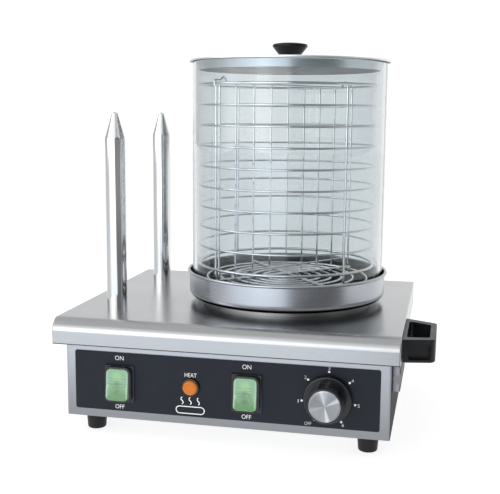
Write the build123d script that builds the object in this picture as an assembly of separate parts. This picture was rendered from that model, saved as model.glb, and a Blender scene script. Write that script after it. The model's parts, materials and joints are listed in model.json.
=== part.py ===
from build123d import *
import math
import os

# Hot-dog steamer: a sheet-metal base with a control panel and two heated bun spikes, and on its hot plate
# a water pan, a glass cylinder, a wire trivet, a wire basket with a divider, and a lid.
# Millimetres. +X is the right side, +Y the back, +Z up. The shapes are drawn in the housing's frame,
# whose x = 0 is the housing's middle plane and y = 0 the top cover's front, and save() moves them so that
# the origin is the bottom centre of the whole object's box. The object stands at GROUND in that frame.
GROUND = -4.7

# Top cover
COVER_W = 330.0
COVER_D = 281.0
COVER_TOP = 112.7
COVER_BOTTOM = 88.0
BULLNOSE_R = 12.0
SHEET = 1.2
LIP_GAP = 0.9

# Lower box under the cover
BOX_W = 314.0
BOX_FRONT = 14.5
BOX_BACK = 273.0
BOX_BOTTOM = 13.9
FLANGE = 14.0
BEND_R = 2.0

# Control panel and what sits in it
PANEL_W = 295.0
PANEL_Z = (21.7, 79.8)
PANEL_T = 0.8
SWITCH_X = (-102.2, 23.4)
SWITCH_Z = 49.2
BEZEL_W = 29.7
BEZEL_H = 37.3
BEZEL_T = 1.8
RIM_W = 26.6
RIM_H = 35.4
RIM_PROUD = 5.8
WELL_W = 22.8
WELL_H = 32.8
ROCKER_W = 21.9
ROCKER_R = 16.05
ROCKER_PROUD = 7.0
ROCKER_SLOPES = (3.5, 9.5)
LAMP_X = -31.0
LAMP_Z = 50.7
LENS_R = 7.2
LAMP_BEZEL_R = 9.0
KNOB_X = 99.8
KNOB_Z = 49.8
KNOB_SKIRT_R = 22.4
KNOB_SKIRT_T = (2.0, 6.6)
KNOB_R = 17.2
KNOB_CAP_R = 14.7
KNOB_FRONT = -10.5
KNOB_LOBES = 6
SHAFT_R = 3.0

# Louvres in both sides of the lower box
LOUVRE_Z = (58.8, 75.2)
LOUVRE_Y = (40.0, 132.0)
LOUVRE_H = 12.0
LOUVRE_OUT = 6.5

# Feet, carry handle and heated spikes
FOOT_X = 135.5
FOOT_INSET_Y = 37.0
FOOT_R = (9.0, 10.5)
FOOT_SCREW_R = 2.0
FOOT_SCREW_HEAD_R = 4.2
FOOT_SCREW_Z = 7.0
BOTTOM_SCREW_R = 1.75
STUD_R = 2.0
HANDLE_Z = (84.0, 106.0)
HANDLE_OUT = 29.5
SPIKE_X = -127.2
SPIKE_Y = (75.9, 224.6)
SPIKE_R = 10.3
SPIKE_TOP = 308.0
SPIKE_CONE_H = 26.0

# The cooking stack on one vertical axis
AXIS_X = 35.8
AXIS_Y = 150.3
HOT_PLATE_R = 88.0
HOT_PLATE_TOP = 117.3
PAN_BOTTOM = 117.4
PAN_R = 103.0
PAN_CORNER_R = 8.0
PAN_RIM_Z = 144.6
PAN_SHEET = 0.8
BEAD_R = 1.5
GLASS_R = 100.0
GLASS_WALL = 4.0
GLASS_Z = (120.4, 359.3)
TRIVET_Z = 140.0
TRIVET_WIRE_R = 1.5
TRIVET_RINGS = (84.5, 70.0, 58.0, 47.0, 36.0, 25.0, 14.0)
TRIVET_ARMS = (-46.0, 37.0)
TRIVET_LEG_R = 81.3
BASKET_SHIFT = -1.2
BASKET_R = 91.0
BASKET_Z = 153.0
BASKET_PITCH = 20.38
BASKET_RINGS = 10
BASKET_WIRE_R = 1.1
BASKET_END_R = 1.4
BASKET_BOTTOM = 141.9
UPRIGHT_ANGLES = (48.0, 139.0, 229.5, 319.0)
DIVIDER_ANGLE = 52.0
DIVIDER_WIRE_R = 1.0
DIVIDER_SPREAD = (-88.2, -68.2, -45.5, -22.8, 0.0, 22.8, 45.5, 68.2, 87.4)
DIVIDER_FOOT_BAR = 148.0
HOOK_BENDS = ((-12.0, 0.0), (-7.4, 6.8), (-4.2, 3.2), (2.8, 3.2), (2.8, -2.5))
HOOK_BEND_R = 1.5
LID_R = 103.0
LID_Z = 359.6
LID_DISH_R = (93.0, 95.2)
LID_DISH_DEPTH = 9.3
LID_SHEET = 0.8
LID_KNOB_R = 18.1
LID_KNOB_RIM = 4.1
LID_KNOB_CROWN_R = 85.0
LID_KNOB_NECK = (8.6, 16.0)
HEIGHT = 380.0

# Mains cable gland in the back of the lower box
GLAND_X = 110.0
GLAND_Z = 42.0
GLAND_OUT = 12.0
GLAND_BORE_R = 3.5

# Fits
RUNNING = 0.06
SCREW_GAP = 0.05

BOX_CENTRE_X = HANDLE_OUT / 2
BOX_CENTRE_Y = (KNOB_FRONT + BOX_BACK + GLAND_OUT) / 2
PANEL_FACE = BOX_FRONT - PANEL_T
WALL_BACK = BOX_FRONT + SHEET
TOP_INNER = COVER_TOP - SHEET
LOW = (Align.CENTER, Align.CENTER, Align.MIN)


def save(name, shape):
    """Writes one node, moved from the housing's frame to the object's frame."""
    os.makedirs("parts", exist_ok=True)
    export_step(Pos(-BOX_CENTRE_X, -BOX_CENTRE_Y, -GROUND) * shape, "parts/" + name + ".step")


def block(x, y, z):
    """A box between pairs of limits."""
    centre = Pos(sum(x) / 2, sum(y) / 2, sum(z) / 2)
    return centre * Box(x[1] - x[0], y[1] - y[0], z[1] - z[0])


def post(r, z, x=0.0, y=0.0):
    """A vertical cylinder between two heights."""
    return Pos(x, y, z[0]) * Cylinder(r, z[1] - z[0], align=LOW)


def rod_y(r, y, x, z):
    """A cylinder along Y between two limits."""
    return Pos(x, y[0], z) * Rot(-90, 0, 0) * Cylinder(r, y[1] - y[0], align=LOW)


def rod_x(r, x, y, z):
    """A cylinder along X between two limits."""
    return Pos(x[0], y, z) * Rot(0, 90, 0) * Cylinder(r, x[1] - x[0], align=LOW)


def plate_y(width, height, corner, y, x, z):
    """A plate across Y with rounded corners, between two depths."""
    outline = Plane.XZ * RectangleRounded(width, height, corner)
    return Pos(x, y[0], z) * extrude(outline, amount=-(y[1] - y[0]))


def turned(*points):
    """A solid of revolution about Z from (radius, height) points."""
    outline = make_face(Polyline(*[(r, 0, z) for r, z in points], close=True))
    return revolve(outline, Axis.Z)


def hexagon(across, z, x, y):
    """A vertical hexagonal prism, as a nut."""
    outline = RegularPolygon(across / 2, 6, major_radius=False)
    return Pos(x, y, z[0]) * extrude(outline, amount=z[1] - z[0])


def on_axis(shape):
    """Moves a shape drawn about Z onto the cooking stack's axis."""
    return Pos(AXIS_X, AXIS_Y, 0) * shape


def in_basket(shape):
    """Moves a shape drawn about Z onto the basket's own middle, a little off the stack's axis."""
    return Pos(AXIS_X + BASKET_SHIFT, AXIS_Y, 0) * shape


def joined(shapes):
    """Adds shapes into one, one after the other."""
    total = shapes[0]
    for shape in shapes[1:]:
        total = total + shape
    return total


# ---- Sheet-metal base ----

FOOT_PLACES = [(x, y) for x in (-FOOT_X, FOOT_X) for y in (FOOT_INSET_Y, BOX_BACK + BOX_FRONT - FOOT_INSET_Y)]
STUD_PLACES = [(x, y) for x in (-149.0, 149.0) for y in (30.0, 145.0, 262.0)]
BOTTOM_SCREW_PLACES = [(x, y) for x in (-150.0, 150.0) for y in (90.0, 200.0)]
THERMOSTAT_SCREW_X = (KNOB_X - 14.0, KNOB_X + 14.0)
HANDLE_SCREW_Y = (32.6, 109.0)
HANDLE_SCREW_REACH = (2.2, 8.8)
HANDLE_SCREW_Z = sum(HANDLE_Z) / 2
VENT_X = (-40.0, 40.0)
VENT_START = 80.0
VENT_PITCH = 14.0
VENT_WIDTH = 4.0
VENT_SLOTS = 9
GLAND_THREAD_R = 6.0
LAMP_BARREL_R = 6.2
THERMOSTAT_BUSH_R = 5.0
THERMOSTAT_SCREW_R = 2.0
SPIKE_THREAD_R = 5.0
HANDLE_SCREW_R = 1.9


def louvre_hood(z):
    """One pressed hood on the right side: solid outside shape, and the hollow under it."""
    wall = BOX_W / 2
    length = LOUVRE_Y[1] - LOUVRE_Y[0]
    middle = sum(LOUVRE_Y) / 2

    def prism(inset, span):
        top = LOUVRE_H / 2 - inset
        out = LOUVRE_OUT - inset
        low = -LOUVRE_H / 2 - (0.1 if inset else 0.0)
        back = -SHEET - (0.2 if inset else 0.0)
        corners = ((back, 0, top), (0, 0, top), (out, 0, -1.0), (out, 0, low), (back, 0, low))
        solid = extrude(make_face(Polyline(*corners, close=True)), amount=span / 2, both=True)
        ends = solid.edges().filter_by(Axis.Y, reverse=True).group_by(Axis.X)[-1]
        return Pos(wall, middle, z) * (fillet(ends, out * 0.45) if inset == 0 else solid)

    return prism(0.0, length), prism(1.0, length - 2.0)


def base_housing():
    """Lower box: four walls, inward flanges above and below, louvres, and the front and rear cut-outs."""
    width = (-BOX_W / 2, BOX_W / 2)
    outside = block(width, (BOX_FRONT, BOX_BACK), (BOX_BOTTOM, TOP_INNER))
    outside = fillet(outside.edges().filter_by(Axis.Z), BEND_R)
    inner_x = (width[0] + SHEET, width[1] - SHEET)
    hollow = block(inner_x, (WALL_BACK, BOX_BACK - SHEET), (BOX_BOTTOM + SHEET, TOP_INNER - SHEET))
    hollow = fillet(hollow.edges().filter_by(Axis.Z), BEND_R - SHEET)
    flange_x = (width[0] + FLANGE, width[1] - FLANGE)
    mouth = block(flange_x, (BOX_FRONT + FLANGE, BOX_BACK - FLANGE), (BOX_BOTTOM - 1, TOP_INNER + 1))
    shell = outside - hollow - mouth
    for z in LOUVRE_Z:
        hood, under = louvre_hood(z)
        for flip in (False, True):
            shell = shell + (mirror(hood, Plane.YZ) if flip else hood)
            shell = shell - (mirror(under, Plane.YZ) if flip else under)
    for cutter in front_cutters():
        shell = shell - cutter
    shell = shell - rod_y(GLAND_THREAD_R + 0.1, (BOX_BACK - 2, BOX_BACK + 1), GLAND_X, GLAND_Z)
    for x, y in STUD_PLACES:
        shell = shell - post(STUD_R + 0.3, (TOP_INNER - 2, TOP_INNER + 1), x, y)
    for x, y in FOOT_PLACES:
        shell = shell - post(FOOT_SCREW_R + SCREW_GAP, (BOX_BOTTOM - 1, BOX_BOTTOM + 2), x, y)
    for x, y in BOTTOM_SCREW_PLACES:
        shell = shell - post(BOTTOM_SCREW_R + SCREW_GAP, (BOX_BOTTOM - 1, BOX_BOTTOM + 2), x, y)
    return shell


def front_cutters():
    """The holes that go through the control panel and the wall behind it."""
    depth = (PANEL_FACE - 1, WALL_BACK + 1)
    cutters = [plate_y(26.2, 35.8, 0.8, depth, x, SWITCH_Z) for x in SWITCH_X]
    cutters.append(rod_y(LAMP_BARREL_R + 0.1, depth, LAMP_X, LAMP_Z))
    cutters.append(rod_y(THERMOSTAT_BUSH_R + 0.2, depth, KNOB_X, KNOB_Z))
    cutters += [rod_y(THERMOSTAT_SCREW_R + SCREW_GAP, depth, x, KNOB_Z) for x in THERMOSTAT_SCREW_X]
    return cutters


def top_cover():
    """Cover with a bullnose front edge, a skirt with an inward lip, and studs welded under it."""
    def shell(inset):
        x = (-COVER_W / 2 + inset, COVER_W / 2 - inset)
        solid = block(x, (inset, COVER_D - inset), (COVER_BOTTOM, COVER_TOP - inset))
        front = solid.edges().filter_by(Axis.X).sort_by(lambda edge: edge.center().Y - edge.center().Z)[0]
        solid = fillet(front, BULLNOSE_R - inset)
        if inset == 0:
            corners = solid.edges().filter_by(Axis.Z)
            solid = fillet(corners, 1.2)
        return solid

    cover = shell(0.0) - (shell(SHEET) - block((-200, 200), (0, 300), (COVER_BOTTOM, COVER_BOTTOM + SHEET)))
    opening_x = (-BOX_W / 2 - LIP_GAP, BOX_W / 2 + LIP_GAP)
    opening_y = (PANEL_FACE - LIP_GAP, BOX_BACK + LIP_GAP)
    cover = cover - block(opening_x, opening_y, (COVER_BOTTOM - 1, COVER_BOTTOM + 2))
    cover = cover - post(HOT_PLATE_R - 4.5, (TOP_INNER - 1, COVER_TOP + 1), AXIS_X, AXIS_Y)
    for y in SPIKE_Y:
        cover = cover - post(SPIKE_THREAD_R + 0.2, (TOP_INNER - 1, COVER_TOP + 1), SPIKE_X, y)
    for y in HANDLE_SCREW_Y:
        cover = cover - rod_x(HANDLE_SCREW_R + 0.15, (COVER_W / 2 - 2, COVER_W / 2 + 1), y, HANDLE_SCREW_Z)
    for x, y in STUD_PLACES:
        cover = cover + post(STUD_R, (TOP_INNER - 9.0, TOP_INNER + 0.5), x, y)
    return cover


def bottom_plate():
    """Flat plate that closes the lower box from inside, on its lower flange."""
    z = (BOX_BOTTOM + SHEET, BOX_BOTTOM + 2 * SHEET)
    x = (-BOX_W / 2 + 1.6, BOX_W / 2 - 1.6)
    plate = block(x, (WALL_BACK + 0.4, BOX_BACK - 1.6), z)
    plate = fillet(plate.edges().filter_by(Axis.Z), 2.0)
    for i in range(VENT_SLOTS):
        start = VENT_START + VENT_PITCH * i
        plate = plate - block(VENT_X, (start, start + VENT_WIDTH), (z[0] - 1, z[1] + 1))
    for x, y in FOOT_PLACES:
        plate = plate - post(FOOT_SCREW_R + SCREW_GAP, (z[0] - 1, z[1] + 1), x, y)
    for x, y in BOTTOM_SCREW_PLACES:
        plate = plate - post(BOTTOM_SCREW_R + SCREW_GAP, (z[0] - 1, z[1] + 1), x, y)
    return plate


def control_panel():
    """Thin black fascia on the front wall, with the switch, lamp and thermostat holes."""
    height = PANEL_Z[1] - PANEL_Z[0]
    panel = plate_y(PANEL_W, height, 2.0, (PANEL_FACE, BOX_FRONT), 0, sum(PANEL_Z) / 2)
    for cutter in front_cutters():
        panel = panel - cutter
    return panel


# ---- Switches, lamp, thermostat and knob ----

ROCKER_PIVOT_Y = PANEL_FACE - 3.0
SWITCH_BACK = 37.0
ROCKER_PIN_R = 1.3
ROCKER_PIN_REACH = 12.6
ROCKER_BACK = 8.0


def switch_housing(x):
    """Snap-in rocker switch body: a flat bezel, a tall rounded rim, a box behind them and blind pivot holes."""
    bezel = plate_y(BEZEL_W, BEZEL_H, 1.0, (PANEL_FACE - BEZEL_T, PANEL_FACE), x, SWITCH_Z)
    bezel = chamfer(bezel.faces().sort_by(Axis.Y)[0].edges(), 0.6)
    rim = plate_y(RIM_W, RIM_H, 6.5, (PANEL_FACE - RIM_PROUD, PANEL_FACE - 0.5), x, SWITCH_Z)
    rim = fillet(rim.faces().sort_by(Axis.Y)[0].edges(), 0.9)
    body = plate_y(25.8, RIM_H, 0.8, (PANEL_FACE - 0.5, SWITCH_BACK), x, SWITCH_Z)
    well = plate_y(WELL_W, WELL_H, 5.0, (PANEL_FACE - RIM_PROUD - 1, SWITCH_BACK - 2), x, SWITCH_Z)
    hole = ROCKER_PIN_REACH + 0.1
    bores = rod_x(ROCKER_PIN_R + RUNNING, (x - hole, x + hole), ROCKER_PIVOT_Y, SWITCH_Z)
    housing = bezel + rim + body - well - bores
    catches = []
    for side in (-13.1, 13.1):
        catches.append(block((x + side - 0.3, x + side + 0.3), (17, 22), (SWITCH_Z - 4, SWITCH_Z + 4)))
    return joined([housing] + catches)


def rocker(x):
    """Rocker pressed in at its top: two faces that meet in a shallow V, ribbed, on a pair of pivot pins."""
    upper, lower = (math.tan(math.radians(angle)) for angle in ROCKER_SLOPES)
    top = PANEL_FACE - ROCKER_PROUD - ROCKER_PIVOT_Y
    middle = top - ROCKER_R * upper
    reach = 20.0
    front = ((middle + reach * upper, reach), (middle, 0), (middle - reach * lower, -reach))
    outline = Polyline((ROCKER_BACK, -reach), (ROCKER_BACK, reach), *front, close=True)
    wedge = extrude(Plane.YZ * make_face(outline), amount=ROCKER_W / 2, both=True)
    drum = Rot(0, 90, 0) * Cylinder(ROCKER_R, ROCKER_W + 2)
    body = wedge & drum
    body = fillet(body.edges().filter_by(GeomType.CIRCLE), 4.2)
    rounded = [edge for edge in body.edges() if edge.center().Y < middle + 1.5]
    body = fillet(rounded, 0.6)
    pins = Rot(0, 90, 0) * Cylinder(ROCKER_PIN_R, 2 * ROCKER_PIN_REACH)
    ribs = []
    for k in range(5):
        level = 6.4 - 2.0 * k
        face = middle + (level * upper if level > 0 else level * lower)
        ribs.append(Pos(0, face, level) * Rot(0, 90, 0) * Cylinder(0.4, ROCKER_W - 5.0))
    return Pos(x, ROCKER_PIVOT_Y, SWITCH_Z) * joined([body, pins] + ribs)


def switch_terminals():
    """Four blade terminals on the back of each switch."""
    blades = []
    for x in SWITCH_X:
        for side in (-6.0, 6.0):
            for level in (-8.0, 8.0):
                spot = (x + side, SWITCH_Z + level)
                flat = (spot[1] - 0.4, spot[1] + 0.4)
                wide = (spot[0] - 3.15, spot[0] + 3.15)
                blade = block(wide, (SWITCH_BACK, SWITCH_BACK + 9), flat)
                blades.append(blade - Pos(spot[0], SWITCH_BACK + 5.5, spot[1]) * Cylinder(0.9, 3))
    return joined(blades)


def lamp_holder():
    """Round lamp bezel with a seat for the lens, and the barrel behind it."""
    bezel = rod_y(LAMP_BEZEL_R, (PANEL_FACE - 2.4, PANEL_FACE), LAMP_X, LAMP_Z)
    bezel = fillet(bezel.faces().sort_by(Axis.Y)[0].edges(), 0.9)
    barrel = rod_y(LAMP_BARREL_R, (PANEL_FACE - 0.5, 34.0), LAMP_X, LAMP_Z)
    seat = rod_y(LENS_R + 0.05, (PANEL_FACE - 3, PANEL_FACE - 1.2), LAMP_X, LAMP_Z)
    bore = rod_y(5.0, (PANEL_FACE - 3, 32.0), LAMP_X, LAMP_Z)
    return bezel + barrel - seat - bore


def lamp_lens():
    """Amber lens with a rounded front."""
    lens = rod_y(LENS_R, (PANEL_FACE - 4.4, PANEL_FACE - 1.2), LAMP_X, LAMP_Z)
    return fillet(lens.faces().sort_by(Axis.Y)[0].edges(), 2.2)


def lamp_bulb():
    """Neon bulb inside the lamp's barrel."""
    bulb = rod_y(2.6, (16.0, 31.9), LAMP_X, LAMP_Z)
    return fillet(bulb.faces().sort_by(Axis.Y)[0].edges(), 2.4)


def lamp_nut():
    """Ring nut that holds the lamp from behind the wall."""
    ring = rod_y(9.0, (WALL_BACK, WALL_BACK + 3), LAMP_X, LAMP_Z)
    return ring - rod_y(LAMP_BARREL_R + SCREW_GAP, (WALL_BACK - 1, WALL_BACK + 4), LAMP_X, LAMP_Z)


def thermostat_body():
    """Capillary thermostat behind the wall, with a bush through it and two threaded holes."""
    body = block((KNOB_X - 20, KNOB_X + 20), (WALL_BACK, 44.0), (KNOB_Z - 17, KNOB_Z + 17))
    body = fillet(body.edges().filter_by(Axis.Y), 3.0)
    bush = rod_y(THERMOSTAT_BUSH_R, (PANEL_FACE + 0.2, WALL_BACK + 1), KNOB_X, KNOB_Z)
    bore = rod_y(SHAFT_R + RUNNING, (PANEL_FACE - 1, 36.0), KNOB_X, KNOB_Z)
    body = body + bush - bore
    for x in THERMOSTAT_SCREW_X:
        body = body - rod_y(THERMOSTAT_SCREW_R + SCREW_GAP, (WALL_BACK - 1, 26.0), x, KNOB_Z)
    blades = []
    for x in (KNOB_X - 8, KNOB_X + 8):
        blades.append(block((x - 3, x + 3), (43.5, 53.0), (KNOB_Z + 9.6, KNOB_Z + 10.4)))
    return joined([body] + blades)


def thermostat_screws():
    """Two screws under the knob that hold the thermostat."""
    screws = []
    for x in THERMOSTAT_SCREW_X:
        head = rod_y(3.4, (PANEL_FACE - 1.5, PANEL_FACE), x, KNOB_Z)
        slot = block((x - 4, x + 4), (PANEL_FACE - 2, PANEL_FACE - 0.9), (KNOB_Z - 0.4, KNOB_Z + 0.4))
        screws.append(head - slot + rod_y(THERMOSTAT_SCREW_R, (PANEL_FACE - 0.5, 25.0), x, KNOB_Z))
    return joined(screws)


def thermostat_shaft():
    """D-shaped shaft that the knob turns."""
    tip = KNOB_FRONT + 6.0
    shaft = rod_y(SHAFT_R, (tip, 35.8), KNOB_X, KNOB_Z)
    flat = block((KNOB_X - 4, KNOB_X + 4), (tip - 1, 10.0), (KNOB_Z + 1.5, KNOB_Z + 4))
    return shaft - flat


def control_knob():
    """Black knob: a skirt disc, a grip with wide scallops behind a round collar, and a blind D bore."""
    skirt_face = PANEL_FACE - KNOB_SKIRT_T[1]
    collar_back = KNOB_FRONT + 3.6
    skirt = rod_y(KNOB_SKIRT_R, (skirt_face, PANEL_FACE - KNOB_SKIRT_T[0]), KNOB_X, KNOB_Z)
    skirt = fillet(skirt.faces().sort_by(Axis.Y)[0].edges(), 1.4)
    grip = rod_y(KNOB_R, (collar_back - 0.6, skirt_face + 1), KNOB_X, KNOB_Z)
    for i in range(KNOB_LOBES):
        angle = math.radians(360 * (i + 0.62) / KNOB_LOBES)
        x = KNOB_X + 23.2 * math.cos(angle)
        z = KNOB_Z + 23.2 * math.sin(angle)
        grip = grip - rod_y(8.0, (KNOB_FRONT, skirt_face), x, z)
    collar = rod_y(KNOB_R - 0.9, (KNOB_FRONT + 0.4, collar_back), KNOB_X, KNOB_Z)
    collar = fillet(collar.faces().sort_by(Axis.Y)[0].edges(), 1.2)
    seat = rod_y(KNOB_CAP_R + 0.05, (KNOB_FRONT - 1, KNOB_FRONT + 3), KNOB_X, KNOB_Z)
    bore = rod_y(SHAFT_R + RUNNING, (KNOB_FRONT + 5.8, PANEL_FACE), KNOB_X, KNOB_Z)
    return skirt + grip + collar - seat - bore


def knob_cap():
    """Turned aluminium disc in the knob's face, with a shallow dish."""
    cap = rod_y(KNOB_CAP_R, (KNOB_FRONT, KNOB_FRONT + 3), KNOB_X, KNOB_Z)
    cap = chamfer(cap.faces().sort_by(Axis.Y)[0].edges(), 0.5)
    dish = Pos(KNOB_X, KNOB_FRONT - 89.4, KNOB_Z) * Sphere(90.0)
    return cap - dish


# ---- Heater under the pan ----

PLATE_BOTTOM = 107.0
ELEMENT_R = 60.0
ELEMENT_TUBE_R = 3.2
ELEMENT_Z = PLATE_BOTTOM - ELEMENT_TUBE_R - 0.1
SHIELD_R = 88.0
SHIELD_Z = 86.0
LEG_X = 9.0
CAPILLARY_R = 0.9
CAPILLARY_DROP = (-34.0, -40.0)


def heating_plate():
    """Aluminium hot plate: a body through the cover's hole and a flange on the cover."""
    body = post(HOT_PLATE_R - 5.0, (PLATE_BOTTOM, HOT_PLATE_TOP))
    flange = post(HOT_PLATE_R, (COVER_TOP, HOT_PLATE_TOP))
    flange = chamfer(flange.faces().sort_by(Axis.Z)[-1].edges(), 0.8)
    return on_axis(body + flange - post(2.5 + SCREW_GAP, (PLATE_BOTTOM - 1, PLATE_BOTTOM + 7)))


def heating_element():
    """Tubular ring element with two cold legs down through the insulation."""
    ring = Pos(0, 0, ELEMENT_Z) * Torus(ELEMENT_R, ELEMENT_TUBE_R)
    gap = block((-LEG_X, LEG_X), (-ELEMENT_R - 8, -ELEMENT_R + 8), (ELEMENT_Z - 5, ELEMENT_Z + 5))
    legs = []
    for x in (-LEG_X - 0.5, LEG_X + 0.5):
        knee = Pos(x, -ELEMENT_R + 0.6, ELEMENT_Z) * Sphere(ELEMENT_TUBE_R)
        legs.append(knee + post(ELEMENT_TUBE_R, (74.0, ELEMENT_Z), x, -ELEMENT_R + 0.6))
        legs.append(block((x - 3.1, x + 3.1), (-ELEMENT_R + 0.2, -ELEMENT_R + 1.0), (66.0, 74.5)))
    return on_axis(joined([ring - gap] + legs))


def element_clamp():
    """Three-armed strap that presses the element against the plate."""
    z = (ELEMENT_Z - ELEMENT_TUBE_R - 1.7, ELEMENT_Z - ELEMENT_TUBE_R - 0.1)
    arm = block((-2, 68), (-8, 8), z)
    arms = [Rot(0, 0, angle) * arm for angle in (30, 150, 270 + 30)]
    return on_axis(joined([post(14.0, z)] + arms) - post(2.6, (z[0] - 1, z[1] + 1)))


def element_bolt():
    """Bolt through the clamp into the middle of the plate."""
    top = ELEMENT_Z - ELEMENT_TUBE_R - 1.7
    return on_axis(hexagon(8.0, (top - 3.5, top), 0, 0) + post(2.5, (top - 0.5, PLATE_BOTTOM + 6)))


def thermal_cutout():
    """Safety cut-out pressed on the plate between the element and the bolt."""
    disc = post(7.5, (ELEMENT_Z - 2.9, PLATE_BOTTOM - 0.05), -25.0, 20.0)
    tabs = [block((-25.0 + s - 3, -25.0 + s + 3), (27.0, 35.0), (101.4, 102.2)) for s in (-4.0, 4.0)]
    return on_axis(joined([disc] + tabs))


def heat_shield():
    """Dished steel shield under the plate, flanged against the underside of the cover."""
    z = SHIELD_Z
    r = SHIELD_R
    shield = turned((0, z), (r, z), (r, TOP_INNER - 1), (r + 8, TOP_INNER - 1), (r + 8, TOP_INNER),
                    (r - 1, TOP_INNER), (r - 1, z + 1), (0, z + 1))
    for x in (-LEG_X - 0.5, LEG_X + 0.5):
        shield = shield - post(4.2, (z - 1, z + 3), x, -ELEMENT_R + 0.6)
    shield = shield - post(3.0, (z - 1, z + 3), *CAPILLARY_DROP)
    return on_axis(shield)


def insulation_pad():
    """Ceramic-fibre pad on the shield's floor."""
    pad = post(SHIELD_R - 1.5, (SHIELD_Z + 1, SHIELD_Z + 8.5))
    for x in (-LEG_X - 0.5, LEG_X + 0.5):
        pad = pad - post(4.2, (SHIELD_Z, SHIELD_Z + 10), x, -ELEMENT_R + 0.6)
    return on_axis(pad - post(3.0, (SHIELD_Z, SHIELD_Z + 10), *CAPILLARY_DROP))


def capillary_bulb():
    """Sensing bulb against the plate and its capillary tube to the thermostat."""
    level = PLATE_BOTTOM - 3.2
    low = 66.0
    bulb_y = 44.0
    bulb = on_axis(rod_x(3.0, (-20.0, 25.0), bulb_y, level))
    x = AXIS_X + CAPILLARY_DROP[0]
    y = AXIS_Y + CAPILLARY_DROP[1]
    start = (AXIS_X - 20.0, AXIS_Y + bulb_y, level)
    in_front = 64.0
    route = [start, (x, start[1], level), (x, y, level), (x, y, low), (x, in_front, low),
             (KNOB_X, in_front, low), (KNOB_X, in_front, KNOB_Z), (KNOB_X, 44.0, KNOB_Z)]
    path = FilletPolyline(*route, radius=5.0)
    tube = sweep(Plane(origin=path @ 0, z_dir=path % 0) * Circle(CAPILLARY_R), path=path)
    return bulb + tube


# ---- Heated spikes, handle and feet ----

SPIKE_BORE_R = 4.0
SPIKE_FOOT = 94.0


def bun_spike(y):
    """Polished tube with a rounded conical tip, a threaded foot and a blind bore for its heater."""
    cone = SPIKE_TOP - SPIKE_CONE_H
    foot = [(0, SPIKE_FOOT), (SPIKE_THREAD_R, SPIKE_FOOT), (SPIKE_THREAD_R, COVER_TOP)]
    body = turned(*foot, (SPIKE_R, COVER_TOP), (SPIKE_R, cone), (2.6, SPIKE_TOP), (0, SPIKE_TOP))
    tip = body.edges().filter_by(GeomType.CIRCLE).sort_by(Axis.Z)[-1]
    body = fillet(tip, 2.2)
    shoulder = body.edges().filter_by(GeomType.CIRCLE).filter_by_position(Axis.Z, cone - 0.5, cone + 0.5)
    body = fillet(shoulder, 8.0)
    return Pos(SPIKE_X, y, 0) * (body - post(SPIKE_BORE_R, (SPIKE_FOOT - 1, 286.0)))


def spike_heaters():
    """A cartridge heater in each spike, with two stub leads at its foot."""
    heaters = []
    for y in SPIKE_Y:
        heaters.append(post(SPIKE_BORE_R - 0.1, (SPIKE_FOOT - 1, 284.0), SPIKE_X, y))
        heaters += [post(0.9, (SPIKE_FOOT - 14, SPIKE_FOOT - 0.5), SPIKE_X + s, y) for s in (-1.8, 1.8)]
    return joined(heaters)


def spike_nuts():
    """A nut on each spike's foot, under the cover."""
    z = (TOP_INNER - 6.5, TOP_INNER - 1.2)
    hole = SPIKE_THREAD_R + SCREW_GAP
    return joined([hexagon(17.0, z, SPIKE_X, y) - post(hole, (90, 120), SPIKE_X, y) for y in SPIKE_Y])


def spike_washers():
    """A washer between each spike's nut and the cover."""
    z = (TOP_INNER - 1.2, TOP_INNER)
    hole = SPIKE_THREAD_R + 0.3
    return joined([post(10.0, z, SPIKE_X, y) - post(hole, (90, 120), SPIKE_X, y) for y in SPIKE_Y])


HANDLE_OUTLINE = ((0, 28), (HANDLE_OUT, 34), (HANDLE_OUT, 100), (0, 115))
HANDLE_OPENING = ((3, 37.5), (HANDLE_OUT - 5.5, 41.5), (HANDLE_OUT - 5.5, 92), (3, 103.5))
HANDLE_LEAN = math.degrees(math.atan2(6.0, HANDLE_OUT))
HANDLE_POCKET = (20.0, 11.0, 14.3)
HANDLE_POCKET_PLACE = (15.2, 30.4, -1.0)


def carry_handle():
    """Moulded bow handle on the right side of the cover: two arms, a grip bar and a moulding pocket."""
    wall = COVER_W / 2
    height = HANDLE_Z[1] - HANDLE_Z[0]
    plan = make_face(Polyline(*[(wall + x, y) for x, y in HANDLE_OUTLINE], close=True))
    bow = Pos(0, 0, HANDLE_Z[0]) * extrude(plan, amount=height)
    corners = bow.edges().filter_by(Axis.Z).sort_by(Axis.X)[-2:]
    bow = fillet(corners, 7.0)
    hole = Polyline(*[(wall + x, y) for x, y in HANDLE_OPENING], close=True)
    gap = Pos(0, 0, HANDLE_Z[0] - 1) * extrude(make_face(hole), amount=height + 2)
    gap = fillet(gap.edges().filter_by(Axis.Z), 3.0)
    bow = bow - gap
    for face in (bow.faces().sort_by(Axis.Z)[-1], bow.faces().sort_by(Axis.Z)[0]):
        bow = fillet(face.outer_wire().edges(), 1.6)
    pocket = Box(*HANDLE_POCKET)
    pocket = fillet(pocket.edges().filter_by(Axis.Y), 2.0)
    along, deep, drop = HANDLE_POCKET_PLACE
    bow = bow - Pos(wall + along, deep, HANDLE_SCREW_Z + drop) * Rot(0, 0, HANDLE_LEAN) * pocket
    for y, reach in zip(HANDLE_SCREW_Y, HANDLE_SCREW_REACH):
        hole = rod_x(HANDLE_SCREW_R + SCREW_GAP, (wall - 1, wall + reach + 0.2), y, HANDLE_SCREW_Z)
        bow = bow - hole
    return bow


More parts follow.
